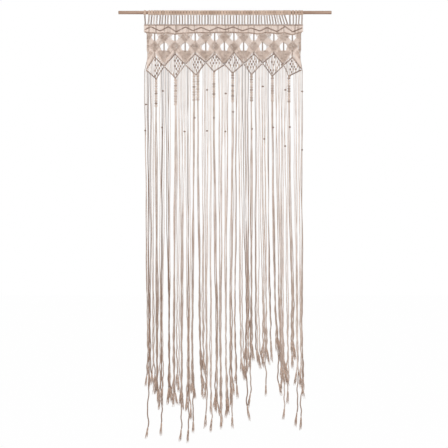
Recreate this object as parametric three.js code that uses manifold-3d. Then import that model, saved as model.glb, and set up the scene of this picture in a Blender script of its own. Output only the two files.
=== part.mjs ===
// Macrame curtain on a wooden rod.
//
// 56 doubled cotton cords hang from a round rod by lark's-head knots, so 112 cord ends run down.
// Below the rod they are hitched into a straight ridge, a close band with a small zigzag ridge,
// a second ridge, and a net of square-knot diamonds with open windows. Two diagonal ridges cross
// and frame eight rhombi, each filled with a small lattice. Nine chains of square knots (sinnets)
// and a long, bunched fringe hang from the lower ridge.
//
// Frame: the origin is the middle of the rod's axis, +X runs along the rod to the right as seen
// from the front, +Z is up, and the front faces -Y. Units are millimetres.

import * as THREE from 'three';
import { mergeVertices } from 'three/addons/utils/BufferGeometryUtils.js';
import Module from 'manifold-3d';

const wasm = await Module();
wasm.setup();

// ---------------------------------------------------------------------------------------------
// Driving dimensions
// ---------------------------------------------------------------------------------------------

const ROD = { length: 1000, diameter: 16, chamfer: 0.8 };
const GAP = 0.3;                        // air between neighbouring pieces

const CORD = { diameter: 3, count: 112 };
const CLOTH = { left: -380, right: 366, y: -7 };      // side edges, and the sheet's middle plane
const CORD_PITCH = (CLOTH.right - CLOTH.left) / CORD.count;

const THICKNESS = {
  cords: CORD.diameter,                 // one layer of cords side by side
  hitches: 3 * CORD.diameter,           // a carrier cord wrapped by half hitches
  knots: 8,                             // a square knot
};

const TOP_RIDGE = { z: -60, height: 6.5 };
const SECOND_RIDGE_HEIGHT = 6.5;
const BAND_ZIGZAG_HEIGHT = 8;           // measured upright, across a sloping ridge
const CROSSING_RIDGE_HEIGHT = 9;        // measured upright, across a sloping ridge

// The lark's-head knots, by their places along the rod: one stands alone at the left, most sit
// close together, and the last ones are pushed to the left or spread a little.
const HEADS = {
  count: 56,
  stops: [
    { index: 0, x: -376 }, { index: 1, x: -354 }, { index: 10, x: -240 }, { index: 40, x: 160 },
    { index: 50, x: 276 }, { index: 51, x: 304 }, { index: 54, x: 349 }, { index: 55, x: 361 },
  ],
  wall: CORD.diameter,
  pairWidth: 6.6,
};

// Turning points of the small zigzag ridge on the band.
const BAND_ZIGZAG = [
  { x: -380, z: -84 }, { x: -347, z: -68 }, { x: -304, z: -88 }, { x: -265, z: -68 },
  { x: -229, z: -92 }, { x: -185, z: -69 }, { x: -150, z: -87 }, { x: -112, z: -71 },
  { x: -72, z: -88 }, { x: -33, z: -71 }, { x: 0, z: -82 }, { x: 38, z: -69 },
  { x: 82, z: -87 }, { x: 122, z: -74 }, { x: 164, z: -88 }, { x: 197, z: -72 },
  { x: 244, z: -91 }, { x: 281, z: -67 }, { x: 318, z: -92 }, { x: 366, z: -72 },
];

// The second ridge sags a little between the knots below it.
const SECOND_RIDGE = [
  { x: -378, z: -92 }, { x: -351, z: -97 }, { x: -304, z: -98 }, { x: -267, z: -97 },
  { x: -234, z: -103 }, { x: -197, z: -98 }, { x: -140, z: -96 }, { x: -70, z: -96 },
  { x: 0, z: -93 }, { x: 47, z: -95 }, { x: 117, z: -97 }, { x: 153, z: -102 },
  { x: 197, z: -94 }, { x: 244, z: -100 }, { x: 281, z: -96 }, { x: 314, z: -106 },
  { x: 362, z: -92 },
];

// The two crossing ridges meet at the cross points. Between two of them stand the upper ridge's
// top and the lower ridge's bottom.
const RHOMBI = [
  { crossX: -370, crossZ: -270, topX: -330, topZ: -210, bottomX: -323, bottomZ: -312 },
  { crossX: -286, crossZ: -254, topX: -234, topZ: -196, bottomX: -232, bottomZ: -308 },
  { crossX: -187, crossZ: -245, topX: -140, topZ: -196, bottomX: -136, bottomZ: -294 },
  { crossX: -90, crossZ: -235, topX: -48, topZ: -196, bottomX: -52, bottomZ: -278 },
  { crossX: -2, crossZ: -245, topX: 42, topZ: -187, bottomX: 36, bottomZ: -285 },
  { crossX: 88, crossZ: -240, topX: 136, topZ: -196, bottomX: 124, bottomZ: -292 },
  { crossX: 176, crossZ: -238, topX: 230, topZ: -194, bottomX: 222, bottomZ: -299 },
  { crossX: 276, crossZ: -247, topX: 316, topZ: -212, bottomX: 298, bottomZ: -299 },
];
const LAST_CROSS = { x: 360, z: -269 };

// The net's side edges, and its rows of diamonds and windows. The first row's diamonds and the
// second row's windows stand over the cross points, and the others over the rhombi's tops.
const NET = { left: -367, right: 357 };
const DIAMOND_ROWS = [
  { over: 'cross', z: -120, halfWidth: 21, halfHeight: 23 },
  { over: 'top', z: -160, halfWidth: 23, halfHeight: 23 },
];
const WINDOW_ROWS = [
  { over: 'top', z: -119, halfWidth: 16, halfHeight: 17 },
  { over: 'cross', z: -164, halfWidth: 17, halfHeight: 18 },
];
// Under them a knotted triangle points down to each cross point.
const TRIANGLE = { top: -180, halfWidth: 27, height: 54 };
const WINDOW_PAIR_WIDTH = 6.6;          // the cord pair that hangs down through each window
const WINDOW_SHOULDER = { out: 0.7, up: 0.8, down: 0.7 };     // shares of its half sizes

// The lattice's holes, in rows across the middle of each rhombus.
const LATTICE = {
  thickness: 4, holeWidth: 7, holeHeight: 9, pitchX: 14, pitchZ: 16, openShare: 0.4,
};

// The hanging ends, from left to right. x and width hold where a bunch is drawn together, at
// GATHER_Z. tuftZ is where most of its cords end and tailZ where its longest cord ends, and tipX
// is where it ends. A row with chainX hangs from a sinnet of that length.
const GATHER_Z = -1350;
const BUNCHES = [
  { cords: 5, x: -358, width: 19, tipX: -358, tuftZ: -1789, tailZ: -1989 },
  { cords: 2, x: -338, width: 7, tipX: -333, tuftZ: -1752, tailZ: -1752 },
  { cords: 4, x: -318, width: 11, tipX: -319, tuftZ: -1841, tailZ: -1841, chainX: -323, chain: 128 },
  { cords: 4, x: -298, width: 15, tipX: -297, tuftZ: -1864, tailZ: -1967 },
  { cords: 4, x: -262, width: 8, tipX: -259, tuftZ: -1864, tailZ: -1864 },
  { cords: 4, x: -239, width: 8, tipX: -238, tuftZ: -1846, tailZ: -1846, chainX: -232, chain: 124 },
  { cords: 2, x: -220, width: 10, tipX: -221, tuftZ: -1803, tailZ: -1803 },
  { cords: 4, x: -202, width: 9, tipX: -204, tuftZ: -1874, tailZ: -1996 },
  { cords: 4, x: -171, width: 15, tipX: -172, tuftZ: -1907, tailZ: -1998 },
  { cords: 4, x: -153, width: 9, tipX: -150, tuftZ: -1817, tailZ: -1961, chainX: -145, chain: 122 },
  { cords: 4, x: -118, width: 8, tipX: -109, tuftZ: -1803, tailZ: -1803, chainX: -127, chain: 122 },
  { cords: 2, x: -103, width: 6, tipX: -98, tuftZ: -1747, tailZ: -1747 },
  { cords: 3, x: -87, width: 9, tipX: -84, tuftZ: -1836, tailZ: -1928 },
  { cords: 2, x: -67, width: 11, tipX: -64, tuftZ: -1911, tailZ: -1949 },
  { cords: 4, x: -40, width: 12, tipX: -39, tuftZ: -1883, tailZ: -1883, chainX: -52, chain: 118 },
  { cords: 4, x: -21, width: 11, tipX: -18, tuftZ: -1920, tailZ: -1940 },
  { cords: 4, x: 3, width: 8, tipX: 12, tuftZ: -1897, tailZ: -1897 },
  { cords: 4, x: 27, width: 13, tipX: 32, tuftZ: -1855, tailZ: -1939, chainX: 36, chain: 132 },
  { cords: 2, x: 47, width: 8, tipX: 53, tuftZ: -1789, tailZ: -1789 },
  { cords: 3, x: 75, width: 15, tipX: 80, tuftZ: -1714, tailZ: -1714 },
  { cords: 5, x: 106, width: 16, tipX: 101, tuftZ: -1696, tailZ: -1888 },
  { cords: 4, x: 124, width: 9, tipX: 122, tuftZ: -1653, tailZ: -1830, chainX: 124, chain: 122 },
  { cords: 3, x: 149, width: 20, tipX: 157, tuftZ: -1700, tailZ: -1700 },
  { cords: 5, x: 186, width: 22, tipX: 189, tuftZ: -1672, tailZ: -1787 },
  { cords: 2, x: 210, width: 6, tipX: 217, tuftZ: -1642, tailZ: -1642 },
  { cords: 4, x: 235, width: 8, tipX: 249, tuftZ: -1623, tailZ: -1780, chainX: 222, chain: 116 },
  { cords: 7, x: 262, width: 22, tipX: 277, tuftZ: -1775, tailZ: -1900 },
  { cords: 2, x: 293, width: 7, tipX: 296, tuftZ: -1733, tailZ: -1818 },
  { cords: 4, x: 317, width: 13, tipX: 317, tuftZ: -1663, tailZ: -1663, chainX: 300, chain: 120 },
  { cords: 3, x: 338, width: 8, tipX: 342, tuftZ: -1747, tailZ: -1920 },
  { cords: 4, x: 358, width: 15, tipX: 361, tuftZ: -1789, tailZ: -1938 },
];

const CHAIN = { width: 11, doubleWidth: 9, thickness: 8 };
const BUNCH = { oneLayer: 3.4, twoLayers: 6.6, steps: 4, drawPower: 1.5, leanY: 3, leanTurn: 2.4 };
const TUFT = { length: 110, flare: 1.25, tipShare: 0.5, driftShare: 0.7 };
const TAIL_WIDTH = 4;

// Enough air, measured upright, to keep two sloping edges GAP apart.
const SLOPE_GAP = 1.6 * GAP;
const FAR = 3000;                       // beyond the whole cloth
const TRIM_DEPTH = 60;                  // deeper than any piece of cloth
const BEVEL = 1.2;

// ---------------------------------------------------------------------------------------------
// Solids
// ---------------------------------------------------------------------------------------------

// Turns a closed geometry into a solid that can be joined and cut.
function solidOf(geometry) {
  const bare = geometry.clone();
  bare.deleteAttribute('normal');
  bare.deleteAttribute('uv');
  const merged = mergeVertices(bare, 1e-4);
  const mesh = new wasm.Mesh({
    numProp: 3,
    vertProperties: Float32Array.from(merged.attributes.position.array),
    triVerts: Uint32Array.from(merged.index.array),
  });
  return new wasm.Manifold(mesh);
}

function geometryOf(solid) {
  const mesh = solid.getMesh();
  const geometry = new THREE.BufferGeometry();
  geometry.setAttribute('position', new THREE.BufferAttribute(mesh.vertProperties, 3));
  geometry.setIndex(new THREE.BufferAttribute(mesh.triVerts, 1));
  geometry.computeVertexNormals();
  return geometry;
}

function union(solids) {
  return solids.reduce((joined, next) => joined.add(next));
}

// An upright plate: an outline of { x, z } points, thickened along Y about the cloth's middle.
function plate(outline, thickness, holes = [], bevel = 0) {
  const toVectors = (points) => points.map((point) => new THREE.Vector2(point.x, point.z));
  const shape = new THREE.Shape(toVectors(outline));
  shape.holes = holes.map((hole) => new THREE.Path(toVectors(hole)));
  const geometry = new THREE.ExtrudeGeometry(shape, {
    depth: thickness - 2 * bevel,
    bevelEnabled: bevel > 0,
    bevelThickness: bevel,
    bevelSize: bevel,
    bevelOffset: -bevel,
    bevelSegments: 1,
  });
  geometry.rotateX(Math.PI / 2);
  geometry.translate(0, CLOTH.y + thickness / 2 - bevel, 0);
  return solidOf(geometry);
}

const rectangle = (left, right, bottom, top) => [
  { x: left, z: bottom }, { x: right, z: bottom }, { x: right, z: top }, { x: left, z: top },
];
const lifted = (line, lift) => line.map((point) => ({ x: point.x, z: point.z + lift }));

// A ridge along a line, of a height measured upright.
function ridge(line, height) {
  const outline = [...lifted(line, -height / 2), ...lifted(line, height / 2).reverse()];
  return plate(outline, THICKNESS.hitches, [], BEVEL);
}

// Everything on one side of a line, thick enough to trim any part of the cloth.
function half(line, lift, side) {
  const first = line[0];
  const last = line[line.length - 1];
  const edge = [
    { x: -FAR, z: first.z + lift },
    ...lifted(line, lift),
    { x: FAR, z: last.z + lift },
  ];
  const farZ = side * FAR;
  const outline = [...edge, { x: FAR, z: farZ }, { x: -FAR, z: farZ }];
  return plate(side > 0 ? outline : outline.reverse(), TRIM_DEPTH);
}
const above = (line, lift) => half(line, lift, 1);
const below = (line, lift) => half(line, lift, -1);

// A closed body through level sections { x, y, z, width, thickness }, listed downwards. Each
// section is flat in front and behind, with blunt edges at its sides.
const EDGE_CUT = 0.35;
function loft(sections) {
  const ring = ({ x, y, z, width, thickness }) => {
    const halfX = width / 2;
    const halfY = thickness / 2;
    const shoulder = halfX - EDGE_CUT * Math.min(width, thickness);
    return [
      [halfX, 0], [shoulder, halfY], [-shoulder, halfY],
      [-halfX, 0], [-shoulder, -halfY], [shoulder, -halfY],
    ].map(([alongX, alongY]) => [x + alongX, y + alongY, z]);
  };
  const sides = 6;
  const positions = sections.flatMap(ring).flat();
  const faces = [];
  for (let row = 0; row + 1 < sections.length; row += 1) {
    for (let side = 0; side < sides; side += 1) {
      const next = (side + 1) % sides;
      const upper = row * sides;
      const lower = upper + sides;
      faces.push(upper + side, lower + side, upper + next);
      faces.push(upper + next, lower + side, lower + next);
    }
  }
  const bottom = (sections.length - 1) * sides;
  for (let side = 1; side + 1 < sides; side += 1) {
    faces.push(0, side, side + 1);
    faces.push(bottom, bottom + side + 1, bottom + side);
  }
  const geometry = new THREE.BufferGeometry();
  geometry.setAttribute('position', new THREE.Float32BufferAttribute(positions, 3));
  geometry.setIndex(faces);
  return solidOf(geometry);
}

// A body of revolution about the rod's axis, from { along, radius } points.
function turned(profile, segments = 24) {
  const points = profile.map(({ along, radius }) => new THREE.Vector2(radius, along));
  const geometry = new THREE.LatheGeometry(points, segments);
  geometry.rotateZ(-Math.PI / 2);
  return solidOf(geometry);
}

// ---------------------------------------------------------------------------------------------
// Rod and heading
// ---------------------------------------------------------------------------------------------

function makeRod() {
  const end = ROD.length / 2;
  const radius = ROD.diameter / 2;
  const { chamfer } = ROD;
  return turned([
    { along: -end, radius: 0 },
    { along: -end, radius: radius - chamfer },
    { along: -end + chamfer, radius },
    { along: end - chamfer, radius },
    { along: end, radius: radius - chamfer },
    { along: end, radius: 0 },
  ]);
}

function headX(index) {
  const next = Math.max(1, HEADS.stops.findIndex((stop) => stop.index >= index));
  const [start, end] = HEADS.stops.slice(next - 1, next + 1);
  return start.x + (end.x - start.x) * (index - start.index) / (end.index - start.index);
}

// The knots' sleeve round the rod, and a tooth for each knot's pair of cords.
function makeHeading() {
  const inner = ROD.diameter / 2 + GAP;
  const outer = inner + HEADS.wall;
  const sleeve = turned([
    { along: CLOTH.left, radius: inner },
    { along: CLOTH.left, radius: outer },
    { along: CLOTH.right, radius: outer },
    { along: CLOTH.right, radius: inner },
    { along: CLOTH.left, radius: inner },
  ]);
  const topZ = -8;                      // inside the sleeve's wall
  const bottomZ = TOP_RIDGE.z + TOP_RIDGE.height / 2 + GAP;
  const pairs = [];
  for (let index = 0; index < HEADS.count; index += 1) {
    const ridgeX = CLOTH.left + 2 * CORD_PITCH * (index + 0.5);
    const side = HEADS.pairWidth / 2;
    pairs.push(plate([
      { x: ridgeX - side, z: bottomZ }, { x: ridgeX + side, z: bottomZ },
      { x: headX(index) + side, z: topZ }, { x: headX(index) - side, z: topZ },
    ], THICKNESS.cords));
  }
  return union([sleeve, ...pairs]);
}

// ---------------------------------------------------------------------------------------------
// Ridges and band
// ---------------------------------------------------------------------------------------------

const topRidgeLine = [{ x: CLOTH.left, z: TOP_RIDGE.z }, { x: CLOTH.right, z: TOP_RIDGE.z }];

function makeBand() {
  const left = SECOND_RIDGE[0].x;
  const right = SECOND_RIDGE[SECOND_RIDGE.length - 1].x;
  const lowest = Math.min(...SECOND_RIDGE.map((point) => point.z));
  const sheet = plate(rectangle(left, right, lowest, TOP_RIDGE.z), THICKNESS.cords);
  const zigzag = ridge(BAND_ZIGZAG, BAND_ZIGZAG_HEIGHT);
  return sheet.add(zigzag)
    .subtract(above(topRidgeLine, -TOP_RIDGE.height / 2 - GAP))
    .subtract(below(SECOND_RIDGE, SECOND_RIDGE_HEIGHT / 2 + GAP));
}

// A line through all cross points, by way of the rhombi's tops or bottoms.
function crossingLine(xName, zName) {
  const points = RHOMBI.flatMap((rhombus) => [
    { x: rhombus.crossX, z: rhombus.crossZ },
    { x: rhombus[xName], z: rhombus[zName] },
  ]);
  return [...points, LAST_CROSS];
}
const upperLine = crossingLine('topX', 'topZ');
const lowerLine = crossingLine('bottomX', 'bottomZ');

function heightAt(line, x) {
  const next = Math.max(1, line.findIndex((point) => point.x >= x));
  const start = line[next - 1];
  const end = line[next];
  return start.z + (end.z - start.z) * (x - start.x) / (end.x - start.x);
}

// ---------------------------------------------------------------------------------------------
// Net
// ---------------------------------------------------------------------------------------------

const innerCrossXs = RHOMBI.slice(1).map((rhombus) => rhombus.crossX);
const topXs = RHOMBI.map((rhombus) => rhombus.topX);
const columnsOver = { cross: innerCrossXs, top: topXs };

const diamondOutline = (x, { z, halfWidth, halfHeight }) => [
  { x: x - halfWidth, z }, { x, z: z - halfHeight },
  { x: x + halfWidth, z }, { x, z: z + halfHeight },
];
const triangleOutline = (x, { top, halfWidth, height }) => [
  { x: x - halfWidth, z: top }, { x, z: top - height }, { x: x + halfWidth, z: top },
];

// One side of a window: the open space between its cord pair and the next diamonds' cords.
const halfWindow = (x, side, { z, halfWidth, halfHeight }) => {
  const inner = x + side * WINDOW_PAIR_WIDTH / 2;
  const { out, up, down } = WINDOW_SHOULDER;
  const shoulder = x + side * out * halfWidth;
  return [
    { x: inner, z: z + halfHeight }, { x: shoulder, z: z + up * halfHeight },
    { x: x + side * halfWidth, z },
    { x: shoulder, z: z - down * halfHeight }, { x: inner, z: z - halfHeight },
  ];
};

function makeNet() {
  const windows = WINDOW_ROWS.flatMap((row) => columnsOver[row.over].flatMap((x) => [
    halfWindow(x, -1, row), halfWindow(x, 1, row),
  ]));
  const outline = rectangle(NET.left, NET.right, LAST_CROSS.z, TOP_RIDGE.z);
  const sheet = plate(outline, THICKNESS.cords, windows);
  const allCrossXs = [NET.left, ...innerCrossXs, NET.right];
  const diamondXs = { cross: allCrossXs, top: topXs };
  const diamonds = DIAMOND_ROWS.flatMap((row) => diamondXs[row.over]
    .map((x) => plate(diamondOutline(x, row), THICKNESS.knots)));
  const triangles = allCrossXs.map((x) => plate(triangleOutline(x, TRIANGLE), THICKNESS.knots));
  return union([sheet, ...diamonds, ...triangles])
    .intersect(plate(outline, TRIM_DEPTH))
    .subtract(above(SECOND_RIDGE, -SECOND_RIDGE_HEIGHT / 2 - GAP))
    .subtract(below(upperLine, CROSSING_RIDGE_HEIGHT / 2 + SLOPE_GAP));
}

// ---------------------------------------------------------------------------------------------
// Rhombi
// ---------------------------------------------------------------------------------------------

const cornersOf = (index) => {
  const rhombus = RHOMBI[index];
  const following = RHOMBI[index + 1];
  const right = following ? { x: following.crossX, z: following.crossZ } : LAST_CROSS;
  return {
    left: { x: rhombus.crossX, z: rhombus.crossZ },
    bottom: { x: rhombus.bottomX, z: rhombus.bottomZ },
    right,
    top: { x: rhombus.topX, z: rhombus.topZ },
  };
};

// The lattice's small rhombic holes, kept well inside the rhombus's edges.
function latticeHoles({ left, right, top, bottom }) {
  const { holeWidth, holeHeight, pitchX, pitchZ, openShare } = LATTICE;
  const middleX = (left.x + right.x + top.x + bottom.x) / 4;
  const middleZ = (left.z + right.z + top.z + bottom.z) / 4;
  const reachX = (right.x - left.x) / 2;
  const reachZ = (top.z - bottom.z) / 2;
  const holes = [];
  const rows = Math.ceil(2 * reachZ / pitchZ);
  const columns = Math.ceil(2 * reachX / pitchX);
  for (let row = -rows; row <= rows; row += 1) {
    for (let column = -columns; column <= columns; column += 1) {
      const alongX = column * pitchX / 2;
      const alongZ = row * pitchZ / 2;
      const staggered = (row + column) % 2 === 0;
      const share = Math.abs(alongX) / reachX + Math.abs(alongZ) / reachZ;
      if (staggered && share < openShare) {
        holes.push(diamondOutline(middleX + alongX, {
          z: middleZ + alongZ, halfWidth: holeWidth / 2, halfHeight: holeHeight / 2,
        }));
      }
    }
  }
  return holes;
}

// The lower ridge's two sides under one rhombus. They stop short of the upper ridge.
function makeLowerRidge(index) {
  const { left, bottom, right } = cornersOf(index);
  const reach = CROSSING_RIDGE_HEIGHT / 2 + SLOPE_GAP;
  const kept = [...lifted(upperLine, -reach), ...lifted(upperLine, reach).reverse()];
  return ridge([left, bottom, right], CROSSING_RIDGE_HEIGHT).subtract(plate(kept, TRIM_DEPTH));
}

function makeLattice(index) {
  const corners = cornersOf(index);
  const outline = [corners.left, corners.bottom, corners.right, corners.top];
  const margin = CROSSING_RIDGE_HEIGHT / 2 + SLOPE_GAP;
  return plate(outline, LATTICE.thickness, latticeHoles(corners))
    .subtract(above(upperLine, -margin))
    .subtract(below(lowerLine, margin));
}

// ---------------------------------------------------------------------------------------------
// Sinnets and fringe
// ---------------------------------------------------------------------------------------------

const fringeTop = -CROSSING_RIDGE_HEIGHT / 2 - SLOPE_GAP;      // measured from the lower line
const mix = (start, end, share) => start + (end - start) * share;

// A bunch's sections from where it starts, drawn together by GATHER_Z and down to its tips.
function bunchSections(bunch, start) {
  const isFull = bunch.cords * CORD.diameter > bunch.width;
  const thickness = isFull ? BUNCH.twoLayers : BUNCH.oneLayer;
  const gathered = { x: bunch.x, width: bunch.width, thickness };
  const leanY = BUNCH.leanY * Math.sin(BUNCH.leanTurn * bunch.number);
  const sections = [];
  for (let step = 0; step <= BUNCH.steps; step += 1) {
    const share = step / BUNCH.steps;
    const drawn = share ** BUNCH.drawPower;
    sections.push({
      x: mix(start.x, gathered.x, drawn),
      y: CLOTH.y + leanY * share,
      z: mix(start.z, GATHER_Z, share),
      width: mix(start.width, gathered.width, drawn),
      thickness: mix(start.thickness, gathered.thickness, drawn),
    });
  }
  const y = CLOTH.y + leanY;
  const tuftWidth = gathered.width * TUFT.flare;
  sections.push({
    x: mix(gathered.x, bunch.tipX, TUFT.driftShare), y, z: bunch.tuftZ + TUFT.length,
    width: gathered.width, thickness: gathered.thickness,
  });
  sections.push({
    x: bunch.tipX, y, z: bunch.tuftZ + TUFT.length / 3,
    width: tuftWidth, thickness: gathered.thickness * TUFT.flare,
  });
  sections.push({
    x: bunch.tipX, y, z: bunch.tuftZ,
    width: tuftWidth * TUFT.tipShare, thickness: TAIL_WIDTH,
  });
  if (bunch.tailZ < bunch.tuftZ) {
    const tail = { x: bunch.tipX, y, width: TAIL_WIDTH, thickness: TAIL_WIDTH };
    sections.push({ ...tail, z: bunch.tuftZ - TAIL_WIDTH });
    sections.push({ ...tail, z: bunch.tailZ });
  }
  return sections;
}

// The bunches with their place in the row and the middle of their cords along the lower ridge.
const bunches = [];
let cordsSoFar = 0;
BUNCHES.forEach((bunch, number) => {
  const topX = CLOTH.left + CORD_PITCH * (cordsSoFar + bunch.cords / 2);
  bunches.push({ ...bunch, number, topX });
  cordsSoFar += bunch.cords;
});
const sinnetBunches = bunches.filter((bunch) => bunch.chainX !== undefined);
const freeBunches = bunches.filter((bunch) => bunch.chainX === undefined);

function makeSinnet(bunch) {
  const isDouble = sinnetBunches.some((other) => other !== bunch
    && Math.abs(other.chainX - bunch.chainX) < 2 * CHAIN.width);
  const width = isDouble ? CHAIN.doubleWidth : CHAIN.width;
  const left = bunch.chainX - width / 2;
  const right = bunch.chainX + width / 2;
  const lowest = Math.min(
    heightAt(lowerLine, left),
    heightAt(lowerLine, right),
    ...lowerLine.filter((point) => point.x > left && point.x < right).map((point) => point.z),
  );
  const topZ = lowest + fringeTop;
  const chain = { x: bunch.chainX, y: CLOTH.y, width, thickness: CHAIN.thickness };
  const chainEnd = topZ - bunch.chain;
  const start = { ...chain, thickness: THICKNESS.cords, z: chainEnd - CORD.diameter };
  return loft([
    { ...chain, z: topZ },
    { ...chain, z: chainEnd },
    ...bunchSections(bunch, start),
  ]);
}

// A free bunch starts over the lower ridge's highest point, and the ridge's line trims it.
function makeBunch(bunch) {
  const start = {
    x: bunch.topX,
    y: CLOTH.y,
    z: Math.max(...lowerLine.map((point) => point.z)),
    width: CORD_PITCH * (bunch.cords - 1) + CORD.diameter,
    thickness: THICKNESS.cords,
  };
  return loft(bunchSections(bunch, start)).subtract(above(lowerLine, fringeTop));
}

// ---------------------------------------------------------------------------------------------
// The curtain
// ---------------------------------------------------------------------------------------------

const COLOURS = { wood: 0xab9184, cotton: 0xd9d0ca, knots: 0xc8b8ad };

const curtain = new THREE.Group();

function addPiece(name, solid, color, roughness) {
  const material = new THREE.MeshStandardMaterial({ color, roughness, metalness: 0 });
  const mesh = new THREE.Mesh(geometryOf(solid), material);
  mesh.name = name;
  curtain.add(mesh);
}
const addCloth = (name, solid, color = COLOURS.cotton) => addPiece(name, solid, color, 0.95);

addPiece('rod', makeRod(), COLOURS.wood, 0.6);
addCloth('heading', makeHeading());
addCloth('top_ridge', ridge(topRidgeLine, TOP_RIDGE.height), COLOURS.knots);
addCloth('band', makeBand());
addCloth('second_ridge', ridge(SECOND_RIDGE, SECOND_RIDGE_HEIGHT), COLOURS.knots);
addCloth('net', makeNet(), COLOURS.knots);
addCloth('upper_ridge', ridge(upperLine, CROSSING_RIDGE_HEIGHT), COLOURS.knots);
RHOMBI.forEach((rhombus, index) => {
  addCloth(`lower_ridge_${index + 1}`, makeLowerRidge(index), COLOURS.knots);
  addCloth(`lattice_${index + 1}`, makeLattice(index));
});
sinnetBunches.forEach((bunch, index) => addCloth(`sinnet_${index + 1}`, makeSinnet(bunch)));
freeBunches.forEach((bunch, index) => addCloth(`fringe_${index + 1}`, makeBunch(bunch)));

export default curtain;
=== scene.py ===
import json
import math

import bpy
import numpy as np
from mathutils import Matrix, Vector
from mathutils.bvhtree import BVHTree


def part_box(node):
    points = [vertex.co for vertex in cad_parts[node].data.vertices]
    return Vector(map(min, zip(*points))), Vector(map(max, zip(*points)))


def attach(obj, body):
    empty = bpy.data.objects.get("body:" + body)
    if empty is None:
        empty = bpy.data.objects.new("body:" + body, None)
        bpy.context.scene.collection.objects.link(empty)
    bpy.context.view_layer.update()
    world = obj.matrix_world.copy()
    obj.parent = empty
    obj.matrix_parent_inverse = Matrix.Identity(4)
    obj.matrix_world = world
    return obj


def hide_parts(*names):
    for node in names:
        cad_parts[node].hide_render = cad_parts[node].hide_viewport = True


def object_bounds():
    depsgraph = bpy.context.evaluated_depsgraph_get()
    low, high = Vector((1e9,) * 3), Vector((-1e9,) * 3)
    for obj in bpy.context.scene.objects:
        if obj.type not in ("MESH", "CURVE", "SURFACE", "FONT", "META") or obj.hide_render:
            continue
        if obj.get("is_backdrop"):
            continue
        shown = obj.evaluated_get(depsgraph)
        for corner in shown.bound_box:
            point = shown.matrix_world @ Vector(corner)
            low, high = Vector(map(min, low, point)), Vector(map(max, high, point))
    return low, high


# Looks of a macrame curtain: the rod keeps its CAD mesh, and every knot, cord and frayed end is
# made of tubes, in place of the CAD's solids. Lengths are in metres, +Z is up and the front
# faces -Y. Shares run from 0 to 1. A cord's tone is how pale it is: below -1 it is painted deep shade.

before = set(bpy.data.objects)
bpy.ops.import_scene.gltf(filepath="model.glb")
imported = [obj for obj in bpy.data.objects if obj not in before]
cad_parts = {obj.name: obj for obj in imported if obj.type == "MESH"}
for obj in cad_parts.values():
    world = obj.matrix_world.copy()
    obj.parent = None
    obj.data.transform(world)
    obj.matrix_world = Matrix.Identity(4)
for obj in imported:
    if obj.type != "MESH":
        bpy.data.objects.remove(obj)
cad_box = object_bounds()


def add_object(name, data):
    thing = bpy.data.objects.new(name, data)
    bpy.context.scene.collection.objects.link(thing)
    return thing


# ---- Driving sizes, from the frame ----

CORD_COUNT = 112
CORD_RADIUS = 0.0015
SINNET_CORDS = 4

ridge_low, ridge_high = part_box("top_ridge")
ROD_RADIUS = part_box("rod")[1].z
CLOTH_LEFT = ridge_low.x
CLOTH_RIGHT = ridge_high.x
CLOTH_Y = (ridge_low.y + ridge_high.y) / 2
PITCH = (CLOTH_RIGHT - CLOTH_LEFT) / CORD_COUNT
NET_LEFT, NET_RIGHT = (corner.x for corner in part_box("net"))

cord_xs = CLOTH_LEFT + PITCH * (np.arange(CORD_COUNT) + 0.5)
random = np.random.default_rng(7)


def either_way(play, count=None):
    return random.uniform(-play, play, count)


def names_like(start):
    return [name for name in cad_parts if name.startswith(start)]


def tree_of(name):
    """A node's mesh, made ready for ray casts."""
    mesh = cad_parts[name].data
    corners = [vertex.co for vertex in mesh.vertices]
    return BVHTree.FromPolygons(corners, [list(face.vertices) for face in mesh.polygons])


class RidgeLine:
    """The height of a ridge's middle along x, felt on its CAD nodes from above and below."""

    SAMPLES = 600
    REACH = 0.5
    MARGIN = 0.0004

    def __init__(self, start, y=CLOTH_Y):
        names = names_like(start)
        trees = [tree_of(name) for name in names]
        sides = [corner.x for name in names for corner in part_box(name)]
        self.x = []
        self.z = []
        for x in np.linspace(min(sides) + self.MARGIN, max(sides) - self.MARGIN, self.SAMPLES):
            for tree in trees:
                top = tree.ray_cast((x, y, self.REACH), (0, 0, -1))[0]
                bottom = tree.ray_cast((x, y, -self.REACH), (0, 0, 1))[0]
                if top and bottom:
                    self.x.append(x)
                    self.z.append((top.z + bottom.z) / 2)
                    break

    def __call__(self, x):
        return np.interp(x, self.x, self.z)


ZIGZAG_FRONT_Y = CLOTH_Y - 0.0025  # in front of the band's cords, inside its zigzag ridge
top_line = RidgeLine("top_ridge")
zigzag_line = RidgeLine("band", ZIGZAG_FRONT_Y)
second_line = RidgeLine("second_ridge")
upper_line = RidgeLine("upper_ridge")
lower_line = RidgeLine("lower_ridge_")

# The eight rhombi between the crossing ridges: their sides and tops, and where the ridges cross.
rhombi = [tuple(corner.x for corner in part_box(name)) for name in names_like("lattice_")]
top_xs = [max(np.linspace(left, right, 200), key=upper_line) for left, right in rhombi]
cross_xs = [(a[1] + b[0]) / 2 for a, b in zip(rhombi, rhombi[1:])]
corner_xs = [upper_line.x[0], *cross_xs, upper_line.x[-1]]

# ---- Camera ----

VIEW_WIDTH = 2.1  # how much of the cloth's plane the picture shows
VIEW_DISTANCE = 5.2
VIEW_CENTRE = Vector((-0.0045, 0, -0.9925))


def make_camera():
    data = bpy.data.cameras.new("camera")
    data.sensor_width = 36
    data.lens = data.sensor_width * VIEW_DISTANCE / VIEW_WIDTH
    camera = add_object("camera", data)
    camera.location = VIEW_CENTRE + Vector((0, CLOTH_Y - VIEW_DISTANCE, 0))
    camera.rotation_euler = (math.radians(90), 0, 0)
    bpy.context.scene.camera = camera


make_camera()

# ---- Tubes ----


def unit(vectors):
    return vectors / np.maximum(np.linalg.norm(vectors, axis=-1, keepdims=True), 1e-12)


def points_at(xs, y, zs):
    """Points from arrays and single numbers that are stretched to fit one another."""
    return np.stack(np.broadcast_arrays(xs, y, zs), axis=-1)


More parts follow.
